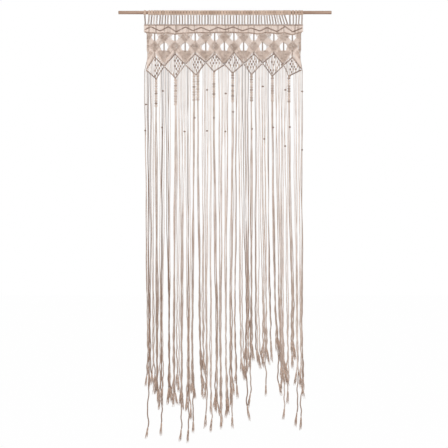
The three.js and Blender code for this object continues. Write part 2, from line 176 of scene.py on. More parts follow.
def smooth(controls, count):
    """Smooth paths through control points: (paths, controls, 3) becomes (paths, count, 3)."""
    controls = np.asarray(controls, float)
    moves = np.diff(controls, axis=1)
    steps = np.maximum(np.linalg.norm(moves, axis=2), 1e-7)
    ends = np.concatenate([np.zeros((len(steps), 1)), np.cumsum(steps, axis=1)], axis=1)
    slopes = moves / steps[..., None]
    before, after = steps[:, :-1, None], steps[:, 1:, None]
    inner = (slopes[:, :-1] * after + slopes[:, 1:] * before) / (before + after)
    tangents = np.concatenate([slopes[:, :1], inner, slopes[:, -1:]], axis=1)
    along = ends[:, -1:] * np.linspace(0, 1, count)
    piece = (along[:, :, None] >= ends[:, None, 1:-1]).sum(axis=2)
    row = np.arange(len(controls))[:, None]
    step = steps[row, piece][..., None]
    share = (along[..., None] - ends[row, piece][..., None]) / step
    start, end = controls[row, piece], controls[row, piece + 1]
    leave, arrive = tangents[row, piece] * step, tangents[row, piece + 1] * step
    squared, cubed = share ** 2, share ** 3
    return (
        start * (2 * cubed - 3 * squared + 1) + leave * (cubed - 2 * squared + share)
        + end * (3 * squared - 2 * cubed) + arrive * (cubed - squared)
    )


def lengths_along(paths):
    steps = np.linalg.norm(np.diff(paths, axis=1), axis=2)
    return np.concatenate([np.zeros((len(paths), 1)), np.cumsum(steps, axis=1)], axis=1)


class Tubes:
    """Round or flat tubes along paths, joined into one mesh."""

    def __init__(self):
        self.groups = []

    def add(self, paths, radius, tones=(-1, 1), sides=6):
        """radius is a number, or an array that broadcasts to (paths, points, 2): the half sizes
        to the side and across. tones is a range to draw from, or a list of every path's tone."""
        paths = np.asarray(paths, float)
        radii = np.broadcast_to(radius, (*paths.shape[:2], 2))
        if isinstance(tones, tuple):
            tones = random.uniform(*tones, len(paths))
        self.groups.append((paths, radii, sides, tones))
        return self

    def build(self, name, material):
        points, faces, cord_uv, bake_uv, all_tones = [], [], [], [], []
        strips = StripMap(self.groups)
        for number, (paths, radii, sides, tones) in enumerate(self.groups):
            rings = tube_rings(paths, radii, sides)
            index = len(points) + np.arange(rings.size // 3).reshape(rings.shape[:3])
            points += rings.reshape(-1, 3).tolist()
            all_tones += np.repeat(tones, index[0].size).tolist()
            following = np.roll(index, -1, axis=2)
            quads = np.stack([index[:, :-1], following[:, :-1], following[:, 1:], index[:, 1:]], axis=-1)
            caps = np.stack([index[:, 0, ::-1], index[:, -1]], axis=1)
            faces += [*quads.reshape(-1, 4).tolist(), *caps.reshape(-1, sides).tolist()]
            along = lengths_along(paths)
            cord_uv += cord_coordinates(along, sides)
            bake_uv += strips.coordinates(number, along, sides)
        mesh = bpy.data.meshes.new(name)
        mesh.from_pydata(points, [], faces, shade_flat=False)
        for title, groups in (("Cord", cord_uv), ("OFBake", bake_uv)):
            values = np.concatenate([group.ravel() for group in groups], dtype=np.float32)
            mesh.uv_layers.new(name=title).data.foreach_set("uv", values)
        attribute = mesh.attributes.new("tone", "FLOAT", "POINT")
        attribute.data.foreach_set("value", all_tones)
        piece = add_object(name, mesh)
        mesh.materials.append(material)
        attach(piece, "root")
        return piece


def tube_rings(paths, radii, sides):
    """The tubes' rings of points, each with its first point as far to the side as can be."""
    tangents = unit(np.gradient(paths, axis=1))
    normal = np.tile([1.0, 0.0, 0.0], (len(paths), 1))
    normals = np.empty_like(paths)
    for step in range(paths.shape[1]):
        tangent = tangents[:, step]
        normal = unit(normal - (normal * tangent).sum(axis=1, keepdims=True) * tangent)
        normals[:, step] = normal
    across = np.cross(tangents, normals)
    angle = 2 * np.pi * np.arange(sides) / sides
    return (
        paths[:, :, None]
        + normals[:, :, None] * (radii[..., 0, None] * np.cos(angle))[..., None]
        + across[:, :, None] * (radii[..., 1, None] * np.sin(angle))[..., None]
    )


def cord_coordinates(along, sides):
    """Texture coordinates: around the tube from 0 to 1, and metres along it."""
    amount, length = along.shape
    u = np.arange(sides + 1) / sides
    quads = np.empty((amount, length - 1, sides, 4, 2))
    quads[..., 0] = np.stack([u[:-1], u[1:], u[1:], u[:-1]], axis=-1)
    quads[..., 0, 1] = quads[..., 1, 1] = along[:, :-1, None]
    quads[..., 2, 1] = quads[..., 3, 1] = along[:, 1:, None]
    caps = np.empty((amount, 2, sides, 2))
    caps[..., 0] = u[:-1]
    caps[..., 1] = along[:, [0, -1]][..., None]
    return [quads, caps]


class StripMap:
    """A map without overlaps: each tube is unrolled to an upright strip, with its end caps as
    small discs above and below, and the strips stand side by side in rows."""

    GAP = 0.0004
    CAP_SHARE = 1 / 3  # of a strip's width, for the height that a cap's disc has
    DISC_SHARE = 0.45  # of that height, for the disc's radius

    def __init__(self, groups):
        sizes = []
        for number, (paths, radii, *_) in enumerate(groups):
            lengths = lengths_along(paths)[:, -1]
            widths = 2 * np.pi * radii.mean(axis=(1, 2))
            heights = lengths + 2 * widths * self.CAP_SHARE
            for path in range(len(paths)):
                sizes.append((heights[path], widths[path], number, path))
        sizes.sort(key=lambda size: (-size[0], *size[2:]))
        area = sum((size[0] + self.GAP) * (size[1] + self.GAP) for size in sizes)
        row_width = max(math.sqrt(area), max(size[1] for size in sizes) + self.GAP)
        self.strips = [np.zeros((len(group[0]), 3)) for group in groups]
        x = y = row_height = 0.0
        for height, width, number, path in sizes:
            if x + width > row_width and x > 0:
                x, y, row_height = 0.0, y + row_height + self.GAP, 0.0
            self.strips[number][path] = x, y, width
            x += width + self.GAP
            row_height = max(row_height, height)
        self.scale = np.array([1 / (row_width + self.GAP), 1 / (y + row_height + self.GAP)])

    def coordinates(self, number, along, sides):
        x, y, width = self.strips[number].T[:, :, None, None]
        cap = width * self.CAP_SHARE
        quads, caps = cord_coordinates(along, sides)
        quads[..., 0] = x[..., None] + width[..., None] * quads[..., 0]
        quads[..., 1] += (y + cap)[..., None]
        middles = np.concatenate([y + cap / 2, y + 1.5 * cap + along[:, -1:, None]], axis=1)
        angle = 2 * np.pi * np.arange(sides) / sides
        caps[..., 0] = x + width / 2 + self.DISC_SHARE * cap * np.cos(angle)
        caps[..., 1] = middles + self.DISC_SHARE * cap * np.sin(angle)
        return [quads * self.scale, caps * self.scale]


# ---- Materials ----

PLY_COUNT = 3
TWIST_LENGTH = 0.013  # along the cord, for one turn of its plies
GROOVE_POWER = 0.6  # below 1, which makes the plies' grooves narrow
# how dark the painted shade in the plies' grooves is
GROOVE_SHADE = 0.42
TONE_STEP = 0.3  # of lightness, for a step of 1 in tone
PATCH_STEP = 0.25  # of lightness, for soft patches
HIGH_Z = -0.35  # the cotton is paler above, and browner towards its ends
LOW_Z = -1.95
LEAST_TINT = 0.35  # how brown the palest cords' ends are
COTTON_FINISH = {"Sheen Weight": 0.25, "Sheen Roughness": 0.5, "Specular IOR Level": 0.2}
WOOD_STRETCH = (0.06, 1, 1)  # the grain's scale along the rod and across it


def colour(*shares):
    """A colour from its sRGB shares, for a shader's linear socket. None here is nearly black."""
    return (*(((share + 0.055) / 1.055) ** 2.4 for share in shares), 1)


PALE_COTTON = colour(0.945, 0.885, 0.845)
SHADED_COTTON = colour(0.73, 0.655, 0.605)
TIP_COTTON = colour(0.61, 0.50, 0.435)
FRAYED_TIP = colour(0.82, 0.70, 0.62)
# the colour of painted deep shade, for tones below -1
PAINTED_SHADE_COTTON = colour(0.55, 0.445, 0.39)


class Shader:
    """The node tree of a material or of the world, with short ways to add and join nodes."""

    def __init__(self, owner):
        owner.use_nodes = True
        self.nodes = owner.node_tree.nodes
        self.links = owner.node_tree.links

    def put(self, value, socket):
        if isinstance(value, bpy.types.NodeSocket):
            self.links.new(value, socket)
        else:
            socket.default_value = value

    def add(self, kind, inputs=None, **settings):
        """Add a node, fill its inputs with values or other nodes' outputs, and give its own."""
        node = self.nodes.new("ShaderNode" + kind)
        for name, value in settings.items():
            setattr(node, name, value)
        for name, value in (inputs or {}).items():
            self.put(value, node.inputs[name])
        return node.outputs

    def math(self, operation, first, second=0.0, clamp=False):
        inputs = {0: first, 1: second}
        return self.add("Math", inputs, operation=operation, use_clamp=clamp)[0]

    def spread(self, value, low, high, to_low=0.0, to_high=1.0):
        inputs = dict(enumerate((value, low, high, to_low, to_high)))
        return self.add("MapRange", inputs)["Result"]

    def mix(self, share, first, second, blend="MIX"):
        inputs = {"Factor": share, 6: first, 7: second}
        return self.add("Mix", inputs, data_type="RGBA", blend_type=blend)[2]

    def noise(self, place, scale, detail=2.0, roughness=0.5):
        inputs = {"Vector": place, "Scale": scale, "Detail": detail, "Roughness": roughness}
        return self.add("TexNoise", inputs)["Fac"]

    def bump(self, height, strength, distance, **after):
        inputs = {"Height": height, "Strength": strength, "Distance": distance}
        return self.add("Bump", inputs | after)["Normal"]

    def seen_directly(self):
        """1 for the camera's own rays, and for those by way of gloss or glass."""
        path = self.add("LightPath")
        seen = self.math("ADD", path["Is Camera Ray"], path["Is Glossy Ray"])
        return self.math("ADD", seen, path["Is Transmission Ray"], clamp=True)


def new_material(name):
    """A material, with its shader and the sockets of its surface."""
    material = bpy.data.materials.new(name)
    shader = Shader(material)
    return material, shader, shader.nodes["Principled BSDF"].inputs


def cotton(name, pale, shade, tips=TIP_COTTON, is_twisted=True):
    """Matt cotton: its plies' grooves with painted shade in them, fibres, cord to cord variation,
    painted deep shade for low tones, and browner ends.
    """
    material, shader, surface = new_material(name)
    uv = shader.add("UVMap", uv_map="Cord")["UV"]
    around = shader.add("SeparateXYZ", {0: uv})
    place = shader.add("TexCoord")["Object"]
    height = shader.add("SeparateXYZ", {0: place})["Z"]
    tone = shader.add("Attribute", attribute_name="tone")["Fac"]

    turns = shader.math("DIVIDE", around["Y"], TWIST_LENGTH)
    wound = shader.math("SUBTRACT", around["X"], turns)
    plies = shader.math("MULTIPLY", wound, PLY_COUNT * math.pi)
    ply = shader.math("ABSOLUTE", shader.math("SINE", plies))
    groove = shader.math("SUBTRACT", 1.0, shader.math("POWER", ply, GROOVE_POWER))
    fibres = shader.noise(place, 1400.0, 3.0)
    patches = shader.spread(shader.noise(place, 22.0), 0.3, 0.7, -PATCH_STEP, PATCH_STEP)

    lightness = shader.math("ADD", shader.math("MULTIPLY", tone, TONE_STEP), 0.5)
    base = shader.mix(shader.math("ADD", lightness, patches, clamp=True), shade, pale)
    # tones below -1 mix towards painted deep shade
    base = shader.mix(shader.spread(tone, -1.0, -3.0), base, PAINTED_SHADE_COTTON)
    lowness = shader.math("POWER", shader.spread(height, HIGH_Z, LOW_Z), 1.5)
    tinted = shader.spread(tone, 2.0, -0.5, LEAST_TINT, 1.0)
    base = shader.mix(shader.math("MULTIPLY", lowness, tinted), base, tips)
    bump = shader.bump(fibres, 0.35, 0.0003)
    if is_twisted:
        # painted shade in the grooves between the plies
        base = shader.mix(shader.math("MULTIPLY", groove, GROOVE_SHADE), base, shade, "MULTIPLY")
        bump = shader.bump(shader.math("SUBTRACT", 1.0, groove), 0.8, 0.0005, Normal=bump)
    base = shader.mix(shader.spread(fibres, 0.35, 0.7, 0.0, 0.25), base, shade)
    shader.put(base, surface["Base Color"])
    shader.put(shader.spread(fibres, 0.3, 0.7, 0.8, 0.97), surface["Roughness"])
    shader.put(bump, surface["Normal"])
    for socket, value in COTTON_FINISH.items():
        surface[socket].default_value = value
    return material


def wood(name, pale, dark):
    """Fine grained wood with its grain along the rod."""
    material, shader, surface = new_material(name)
    place = shader.add("TexCoord")["Object"]
    stretched = shader.add("Mapping", {"Vector": place, "Scale": WOOD_STRETCH})[0]
    grain = shader.noise(stretched, 420.0, 6.0, 0.65)
    bands = shader.noise(stretched, 90.0)
    fleck = shader.noise(stretched, 1500.0)
    base = shader.mix(shader.spread(bands, 0.35, 0.65), dark, pale)
    base = shader.mix(shader.spread(grain, 0.5, 0.72, 0.0, 0.55), base, dark)
    base = shader.mix(shader.spread(fleck, 0.62, 0.75, 0.0, 0.5), base, dark, "MULTIPLY")
    shader.put(base, surface["Base Color"])
    shader.put(shader.spread(grain, 0.3, 0.7, 0.5, 0.72), surface["Roughness"])
    surface["Specular IOR Level"].default_value = 0.35
    shader.put(shader.bump(grain, 0.4, 0.0004), surface["Normal"])
    return material


cord_cotton = cotton("cord_cotton", PALE_COTTON, SHADED_COTTON)
knot_cotton = cotton("knot_cotton", colour(0.945, 0.88, 0.835), colour(0.79, 0.71, 0.655))
wrap_cotton = cotton("wrap_cotton", colour(0.93, 0.84, 0.77), colour(0.77, 0.66, 0.58))
# The ridges' and zigzag's cotton is darker: painted shade on their hitches.
ridge_painted_shade_cotton = cotton("ridge_painted_shade_cotton", colour(0.84, 0.74, 0.67), colour(0.66, 0.56, 0.50))
frayed_cotton = cotton("frayed_cotton", PALE_COTTON, SHADED_COTTON, FRAYED_TIP, False)
rod_wood = wood("rod_wood", colour(0.72, 0.61, 0.54), colour(0.56, 0.45, 0.38))

# ---- Rod and heading ----

STRAND_OFFSET = 0.0025  # of a knot's two strands from its middle
PRESSED_STRAND = (0.0024, 0.0018)  # half sizes, along the rod and across it
TAPER = 0.09  # the share of a strand at each end in which it narrows to a plain cord
RING_RADIUS = ROD_RADIUS + 0.0017  # of a strand's middle
KNOT_LOW_Z = -0.014  # where a knot's strands start to hang
STRAND_Y = -0.0098  # of the strands there
FELT_ZS = (-0.013, -0.050)  # where the heading's CAD is felt for its pairs
PAIR_PLAY = 0.0011  # how far a hanging pair strays to a side
WRAP_TONES = (-1.1, 1.4)
# Heading tones are mostly below -1: painted shade on the hanging pairs.
HEADING_TONES = (-4.0, -0.6)


def finish_rod():
    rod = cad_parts["rod"]
    rod.data.materials.clear()
    rod.data.materials.append(rod_wood)


def span_middles(name, y, z):
    """The middles of the stretches in which a level line along x runs through a node."""
    tree = tree_of(name)
    hits = []
    start = Vector((-1, y, z))
    while hit := tree.ray_cast(start, (1, 0, 0))[0]:
        hits.append(hit.x)
        start = hit + Vector((1e-5, 0, 0))
    return np.array(hits).reshape(-1, 2).mean(axis=1)


def head_middles():
    """The x of every knot on the rod, along the slant of its pair of cords in the CAD."""
    high_z, low_z = FELT_ZS
    high, low = (span_middles("heading", CLOTH_Y, z) for z in FELT_ZS)
    slant = (high - low) / (high_z - low_z)
    return high + slant * (KNOT_LOW_Z - high_z)


def lark_head_stations():
    """One cord over the rod, as (x, y, z) from the knot's middle, up the left and down the right."""
    left = [(-STRAND_OFFSET, STRAND_Y, KNOT_LOW_Z), (-STRAND_OFFSET, -0.0104, -0.009)]
    for turn in np.radians((-25, 15, 60, 100, 140, 180, 220, 255)):
        left.append((-STRAND_OFFSET, -RING_RADIUS * math.cos(turn), RING_RADIUS * math.sin(turn)))
    left += [(-0.0043, -0.0052, -0.0104), (-0.0042, -0.0108, -0.0078), (-0.0028, -0.0128, -0.0056)]
    return np.array(left + [(0, -0.0131, -0.0052)] + [(-x, y, z) for x, y, z in reversed(left)])


def spare_turns(left, right):
    """Rings of cord that fill the rod between two knots."""
    room = right - left - 4 * STRAND_OFFSET
    count = int(room / (2 * PRESSED_STRAND[0]))
    turn = np.linspace(0, 2 * np.pi, 31)
    ring = points_at(0, RING_RADIUS * np.cos(turn), RING_RADIUS * np.sin(turn))
    xs = left + 2 * STRAND_OFFSET + room * (np.arange(count) + 0.5) / count
    return ring + points_at(xs, 0, 0)[:, None]


def make_wraps(middles):
    """The lark's-head knots on the rod."""
    wraps = Tubes()
    stations = lark_head_stations() + points_at(middles, 0, 0)[:, None]
    share = np.linspace(0, 1, 46)
    pressed = np.clip(np.minimum(share, 1 - share) / TAPER, 0, 1)[:, None]
    radii = CORD_RADIUS + pressed * (np.array(PRESSED_STRAND) - CORD_RADIUS)
    wraps.add(smooth(stations, len(share)), radii, WRAP_TONES)
    widest = np.argmax(np.diff(middles))
    wraps.add(spare_turns(middles[widest], middles[widest + 1]), PRESSED_STRAND)
    wraps.build("rod_knots", wrap_cotton)


def make_heading():
    middles = head_middles()
    assert 2 * len(middles) == CORD_COUNT
    make_wraps(middles)
    ridge_middles = cord_xs.reshape(-1, 2).mean(axis=1)
    drops = (0.2, 0.55, 0.85)
    heights = np.interp(drops, [0, 1], [KNOT_LOW_Z, ridge_high.z])
    paths = []
    for middle, ridge_middle in zip(middles, ridge_middles):
        pull = either_way(PAIR_PLAY)
        for side in (-1, 1):
            sag = either_way(PAIR_PLAY)
            reach = side * CORD_RADIUS * (0.9 + 1.1 * random.random() ** 3)
            hanging = np.interp(drops, [0, 1], [middle, ridge_middle]) + pull + reach
            paths.append([
                (middle + side * STRAND_OFFSET, STRAND_Y, KNOT_LOW_Z + 0.003),
                (hanging[0], STRAND_Y + 0.001, heights[0]),
                (hanging[1], CLOTH_Y + sag, heights[1]),
                (hanging[2], CLOTH_Y, heights[2]),
                (ridge_middle + side * PITCH / 2, CLOTH_Y, (ridge_low.z + ridge_high.z) / 2),
            ])
    cords = Tubes().add(smooth(paths, 16), CORD_RADIUS, HEADING_TONES)
    piece = cords.build("heading_cords", cord_cotton)
    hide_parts("heading")
    return piece


# ---- Ridges and band ----

HITCHES_PER_CORD = 2
POINTS_PER_TURN = 10
HITCH_RADIUS = 0.0014
HITCH_REACH = (0.0019, 0.0031)  # of the winding's middle, across the ridge and in depth
RIDGE_INSET = 0.0012  # of the outermost hitches, from the ridge's ends
RIDGE_TONES = (-1, 1)
# Tones below -1 paint shade on the crossing ridges' and the zigzag's hitches.
CROSSING_TONES = (-3.0, 0.8)  # of the hitches on the crossing ridges
ZIGZAG_TONES = (-2.2, -1.4)
BAND_CORD = (0.0036, 0.0016)  # half sizes: broad, so that no light comes through
BAND_PLAY = (0.0005, 0.0008)  # how far they stray in depth and to the sides
BAND_TONES = (-0.8, 4.6)


def add_hitches(tubes, line, left, right, tones):
    """Hitches side by side along a ridge: each cord is wound twice round the ridge's line."""
    cords = max(1, round((right - left) / PITCH))
    share = np.linspace(0, 1, HITCHES_PER_CORD * POINTS_PER_TURN + 1)
    x = left + (right - left) * (np.arange(cords)[:, None] + share) / cords
    turn = 2 * np.pi * HITCHES_PER_CORD * share + np.pi
    step = 0.001
    slope = (line(x + step) - line(x - step)) / (2 * step)
    size = np.sqrt(1 + slope ** 2)
    across = HITCH_REACH[0] * np.sin(turn)
    depth = -HITCH_REACH[1] * np.cos(turn)
    paths = points_at(x - slope / size * across, CLOTH_Y + depth, line(x) + across / size)
    tubes.add(paths, HITCH_RADIUS, tones)


def make_ridges():
    pieces = []
    for ridge, line, tones in (
        ("top_ridge", top_line, RIDGE_TONES),
        ("second_ridge", second_line, RIDGE_TONES),
        ("upper_ridge", upper_line, CROSSING_TONES),
        ("lower_ridge", lower_line, CROSSING_TONES),
    ):
        tubes = Tubes()
        names = names_like(ridge)
        for name in names:
            low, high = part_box(name)
            add_hitches(tubes, line, low.x + RIDGE_INSET, high.x - RIDGE_INSET, tones)
        pieces.append(tubes.build(ridge + "_hitches", ridge_painted_shade_cotton))
        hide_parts(*names)
    return pieces


def make_band():
    depth, lean = (either_way(play, CORD_COUNT) for play in BAND_PLAY)
    paths = np.stack([
        points_at(cord_xs, CLOTH_Y, top_line(cord_xs)),
        points_at(cord_xs + lean, CLOTH_Y + depth, zigzag_line(cord_xs)),
        points_at(cord_xs, CLOTH_Y, second_line(cord_xs)),
    ], axis=1)
    band = Tubes().add(smooth(paths, 12), BAND_CORD, BAND_TONES).build("band_cords", cord_cotton)
    tubes = Tubes()
    add_hitches(tubes, zigzag_line, min(cord_xs), max(cord_xs), ZIGZAG_TONES)
    zigzag = tubes.build("band_zigzag", ridge_painted_shade_cotton)
    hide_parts("band")
    return [band, zigzag]


# ---- Square knots ----

NET_KNOT = (0.0105, 0.0062, 0.0068)  # width, depth and height
KNOT_CORD_RADIUS = 0.0014
KNOT_TILT = 0.08
# Tones below -1 paint shade on some knots.
KNOT_TONES = (-1.5, 0.5)


def with_lower_half(upper):
    """A path's points from its top to its middle, and on down in mirror image."""
    return np.array(upper + [(x, y, -z) for x, y, z in reversed(upper[:-1])])


# A square knot's two working cords, as shares of its half width, depth and height.
FRONT_CORD = with_lower_half([
    (-0.55, 0.0, 1.25), (-0.85, -0.35, 0.95), (-0.55, -0.8, 0.62), (0.0, -0.9, 0.5),
    (0.5, -0.8, 0.42), (0.85, -0.2, 0.25), (0.9, 0.1, 0.0),
])
BACK_CORD = with_lower_half([
    (0.55, 0.0, 1.25), (0.85, -0.7, 0.9), (0.8, -0.5, 0.55), (0.4, 0.7, 0.5), (-0.4, 0.75, 0.45),
    (-0.8, 0.0, 0.4), (-0.9, -0.75, 0.0),
])


def make_square_knots(name, middles, size=NET_KNOT, tones=KNOT_TONES):
    """A piece of square knots round given middles, every other one tied from the other side."""
    middles = np.array(middles)
    half = (np.array(size) - (KNOT_CORD_RADIUS, 0, 0)) / 2
    side = (-1.0) ** np.arange(len(middles))
    tilt = either_way(KNOT_TILT, len(middles))
    tones = random.uniform(*tones, len(middles))
    tubes = Tubes()
    for stations, rings in ((FRONT_CORD, 18), (BACK_CORD, 19)):
        paths = np.tile(stations * half, (len(middles), 1, 1))
        paths[:, :, 0] *= side[:, None]
        paths[:, :, 2] += paths[:, :, 0] * tilt[:, None]
        tubes.add(smooth(paths + middles[:, None], rings), KNOT_CORD_RADIUS, tones, 5)
    return tubes.build(name, knot_cotton)


# ---- Net ----

HIDDEN_BY = 0.0025  # how far the cords behind stay back from a window's edge
BACK_Y = CLOTH_Y + 0.0017  # of the cords that run down behind the diamonds
BACK_PLAY = 0.0005  # how far they differ in depth
TUCKED_Y = CLOTH_Y + 0.001  # of a cord's end, in behind the knots
STRIP_Y = CLOTH_Y - 0.0012  # of the cords between the diamonds
NET_KNOT_Y = CLOTH_Y - 0.0021
CLEARANCE = 0.004  # from the second ridge's middle, or from a window, to what lies under it
BETWEEN_ROWS_Z = -0.142
LOWEST_WINDOW_Z = -0.185
# Both tones are below -1: painted shade on these cords.
PAIR_TONE = -1.7  # of the pairs that hang down through the windows
EDGE_TONE = -1.3  # of the cords at the cloth's two edges
STRIP_TONES = (0.9, 4.0)
LOWER_TONES = (0.3, 3.4)

net_tree = tree_of("net")


def is_open(x, z):
    """True where a straight look from the front goes through the net."""
    return net_tree.ray_cast((x, -1, z), (0, 1, 0))[0] is None


def pair_over(middle):
    """The numbers of the two cords that hang down through a window."""
    after = round((middle - CLOTH_LEFT) / PITCH)
    return [after - 1, after]


class WindowRow:
    """A row of windows: where they stand, and how far they open at any height."""

    FEEL = 0.0055  # beside a window's middle, clear of its pair of cords
    STEP = 0.0004
    WIDEST = 0.03

    def __init__(self, middles, high_z, low_z):
        self.middles = middles
        x = middles[len(middles) // 2] + self.FEEL
        heights = [z for z in np.arange(low_z, high_z, self.STEP) if is_open(x, z)]
        self.low_z = min(heights)
        self.high_z = max(heights)
        self.z = (self.low_z + self.high_z) / 2

    def reach(self, middle, z):
        """How far a window is open beside its middle at one height."""
        steps = np.arange(self.FEEL, self.WIDEST, self.STEP)
        return self.FEEL + self.STEP * sum(is_open(middle + step, z) for step in steps)

    def cords(self, z):
        """Every cord's x at a height where the row is open: a pair hangs down through each
        window's middle, and the other cords share the cloth between the windows."""
        xs = np.zeros(CORD_COUNT)
        last_cord, edge = 0, NET_LEFT + CORD_RADIUS
        for middle in self.middles:
            before, after = pair_over(middle)
            reach = self.reach(middle, z) + HIDDEN_BY + CORD_RADIUS
            xs[last_cord:before] = np.linspace(edge, middle - reach, before - last_cord)
            xs[before] = middle - CORD_RADIUS
            xs[after] = middle + CORD_RADIUS
            last_cord, edge = after + 1, middle + reach
        xs[last_cord:] = np.linspace(edge, NET_RIGHT - CORD_RADIUS, CORD_COUNT - last_cord)
        return xs


upper_windows = WindowRow(top_xs, second_line(0) - CLEARANCE, BETWEEN_ROWS_Z)
lower_windows = WindowRow(cross_xs, BETWEEN_ROWS_Z, LOWEST_WINDOW_Z)


def even_cords():
    """Every cord's x under a row of windows: evenly spread, but for the windows' pairs."""
    xs = NET_LEFT + (NET_RIGHT - NET_LEFT) * (np.arange(CORD_COUNT) + 0.5) / CORD_COUNT
    for middle in top_xs + cross_xs:
        xs[pair_over(middle)] = middle - CORD_RADIUS, middle + CORD_RADIUS
    return xs


def net_cord_paths():
    """The 112 cords that run down through the net, behind its diamonds."""
    gathered = upper_windows.cords(upper_windows.high_z - CLEARANCE)
    stations = [(0.3 * cord_xs + 0.7 * gathered, second_line(cord_xs))]
    for row in (upper_windows, lower_windows):
        for share in (0.8, 0.5, 0.1):
            z = row.low_z + share * (row.high_z - row.low_z)
            stations.append((row.cords(z), z))
        stations.append((even_cords(), row.low_z - CLEARANCE))
    is_beside_ridge = (cord_xs < upper_line.x[0]) | (cord_xs > upper_line.x[-1])
    ridge_z = np.where(is_beside_ridge, lower_line(cord_xs) - 0.004, upper_line(cord_xs))
    stations.append((cord_xs, ridge_z))
    depth = BACK_Y + either_way(BACK_PLAY, CORD_COUNT)
    paths = np.stack([points_at(xs, depth, zs) for xs, zs in stations], axis=1)
    paths[is_beside_ridge, -1, 1] = CLOTH_Y + 0.0004
    return paths


def knots_in_row(x, count, pitch):
    """The x of each knot in a row round x."""
    return [x + (place - (count - 1) / 2) * pitch for place in range(count)]


class Diamond:
    """A diamond of square knots, in rows of 1, 2, 3, 4, 3, 2 and 1."""

    ROWS = 3  # above and below the middle one
    HALF_HEIGHT = 0.023

    def __init__(self, x, z, half_width):
        self.x = x
        self.z = z
        self.half_width = half_width

    def knots(self):
        pitch_x = self.half_width / 2
        pitch_z = self.HALF_HEIGHT / (self.ROWS + 0.4)
        for row in range(-self.ROWS, self.ROWS + 1):
            for x in knots_in_row(self.x, self.ROWS + 1 - abs(row), pitch_x):
                yield x, self.z - row * pitch_z

    def edge(self, side, level, share):
        """A point on one of its edges: share runs from the side corner to the top or bottom."""
        x = self.x + side * self.half_width * (1 - share)
        return np.array([x, self.z + level * self.HALF_HEIGHT * share])


DIAMOND_REACHES = (0.021, 0.023)  # half widths, in the first and the second row
DIAMOND_LIFT = 0.003  # of the second row over the middle of its windows
STRIP_CORDS = 10  # between two diamonds, side by side
RIDGE_CORDS = 7  # from the second ridge to one edge of a diamond
TRIANGLE_CORDS = 12  # from a diamond down to a triangle of knots
FAN_CORDS = 4  # from a diamond's tip to the ridge, on each side
FAN_DROP = 0.008  # the least fall of such a cord
FAN_BACK = 0.0012  # how far these run behind the triangle's cords
WINDOW_TOP = 0.012  # half width of a window under the second ridge
TUCK = 0.006  # how far cords run in behind the knots at their ends
LIFT_PLAY = 0.0004  # how far these cords differ in depth
TRIANGLE_TOP = -0.184  # the middle of the lowest knots' first row
TRIANGLE_ROWS = (5, 6, 5, 4, 3, 3, 2, 1)
TRIANGLE_SIDE = 0.0135  # from the triangle's middle to its upper corners
TRIANGLE_TIP = 0.004  # from its middle to where the lowest cords end
KNOT_ROOMS = (0.006, 0.009)  # the least, from a knot to the second and to the upper ridge
NET_INSET = 0.004  # the least, of a knot from the net's edges
EDGE_INSET = 0.006  # of the column of knots at each edge


def tucked_cord(start, end, bulge, out, back=0.0):
    """A cord from one edge to another, bulging to one side, its ends in behind the knots."""
    along = unit(end - start)
    lift = either_way(LIFT_PLAY)
    middle = (start + end) / 2 + bulge * out
    low, high = start - along * TUCK, end + along * TUCK
    places = [(low, TUCKED_Y), (start, STRIP_Y + lift), (middle, STRIP_Y - 0.0005 + lift)]
    places += [(end, STRIP_Y + lift), (high, TUCKED_Y)]
    left, right = NET_LEFT + CORD_RADIUS, NET_RIGHT - CORD_RADIUS
    return [(min(max(x, left), right), y + back, z) for (x, z), y in places]


def ridge_paths(above, below):
    """Cords from the second ridge to a diamond's upper edge, beside the window."""
    side = math.copysign(1, below.x - above.x)
    apart = abs(below.x - above.x)
    for share in np.linspace(0.1, 1, RIDGE_CORDS):
        x = above.x + side * (apart - WINDOW_TOP) * share
        start = np.array([x, second_line(x) - CLEARANCE])
        yield tucked_cord(start, above.edge(side, 1, 1 - share), 0.003 * share, np.array([side, 0]))


def strip_paths(above, below):
    """Cords from a diamond's lower edge to the upper edge of its lower neighbour."""
    side = math.copysign(1, below.x - above.x)
    out = unit(np.array([-side, -1.0]))
    for share in np.linspace(0.03, 0.97, STRIP_CORDS):
        start = above.edge(side, -1, share)
        end = below.edge(-side, 1, 1 - share)
        yield tucked_cord(start, end, 0.002 * (1 - 2 * share), out)


def triangle_paths(below, cross_x):
    """Cords from a diamond's lower edge to the triangle of knots over a cross point, and behind
    them a fan from the diamond's tip to the ridge."""
    side = math.copysign(1, cross_x - below.x)
    out = np.array([side, 0])
    cross_z = upper_line(cross_x)
    for share in np.linspace(0, 0.97, TRIANGLE_CORDS):
        start = below.edge(side, -1, share)
        x = cross_x - side * (TRIANGLE_SIDE + (TRIANGLE_TIP - TRIANGLE_SIDE) * share)
        end = np.array([x, TRIANGLE_TOP - 0.002 + (cross_z + 0.012 - TRIANGLE_TOP) * share])
        if abs(cross_x) > max(top_xs):
            x = cross_x - side * (TRIANGLE_TIP + 0.018 * share)
            end = np.array([x, upper_line(x) + 0.008])
        yield tucked_cord(start, end, 0.002 * (1 - share), out)
    for share in np.linspace(0.12, 0.8, FAN_CORDS):
        start = below.edge(side, -1, 0.95 - 0.3 * share)
        x = below.x + (cross_x - below.x) * share
        end = np.array([x, upper_line(x) + 0.003])
        if start[1] - end[1] > FAN_DROP:
            yield tucked_cord(start, end, 0.001, out, FAN_BACK)


def is_inside_net(x):
    return NET_LEFT + NET_INSET < x < NET_RIGHT - NET_INSET


def triangle_knots():
    """The knots over the cross points, in rows that narrow downwards."""
    for middle in corner_xs:
        for row, count in enumerate(TRIANGLE_ROWS):
            z = TRIANGLE_TOP - row * NET_KNOT[2]
            for x in knots_in_row(middle, count, NET_KNOT[0]):
                if is_inside_net(x) and z > upper_line(x) + KNOT_ROOMS[1]:
                    yield x, NET_KNOT_Y, z


